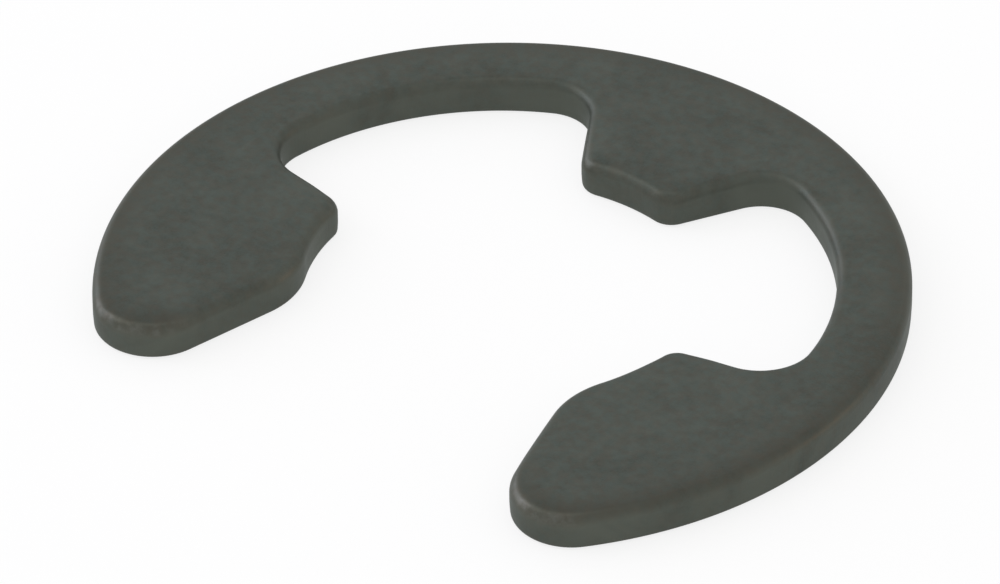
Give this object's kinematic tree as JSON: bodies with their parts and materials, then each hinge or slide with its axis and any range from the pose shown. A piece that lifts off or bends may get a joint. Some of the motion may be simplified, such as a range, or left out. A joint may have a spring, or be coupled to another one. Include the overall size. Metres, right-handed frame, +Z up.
{
  "type": "e-type retaining ring",
  "caption": "Flat spring-steel retaining ring with an open mouth and inward prongs that grip a shaft groove from the side.",
  "frame": {"origin": "axis of the shaft that the ring holds, on the ring's underside", "axes": "+Z up out of the ring's face along the shaft's axis, +Y toward the middle prong, -Y out of the mouth, +X to the right-hand end prong"},
  "size_m": [0.0294, 0.0252, 0.0015],
  "materials": {
    "phosphated_steel": "dark grey phosphate and oil over tumbled spring steel"
  },
  "bodies": {
    "root": {"retaining_ring": "phosphated_steel"}
  },
  "joints": []
}
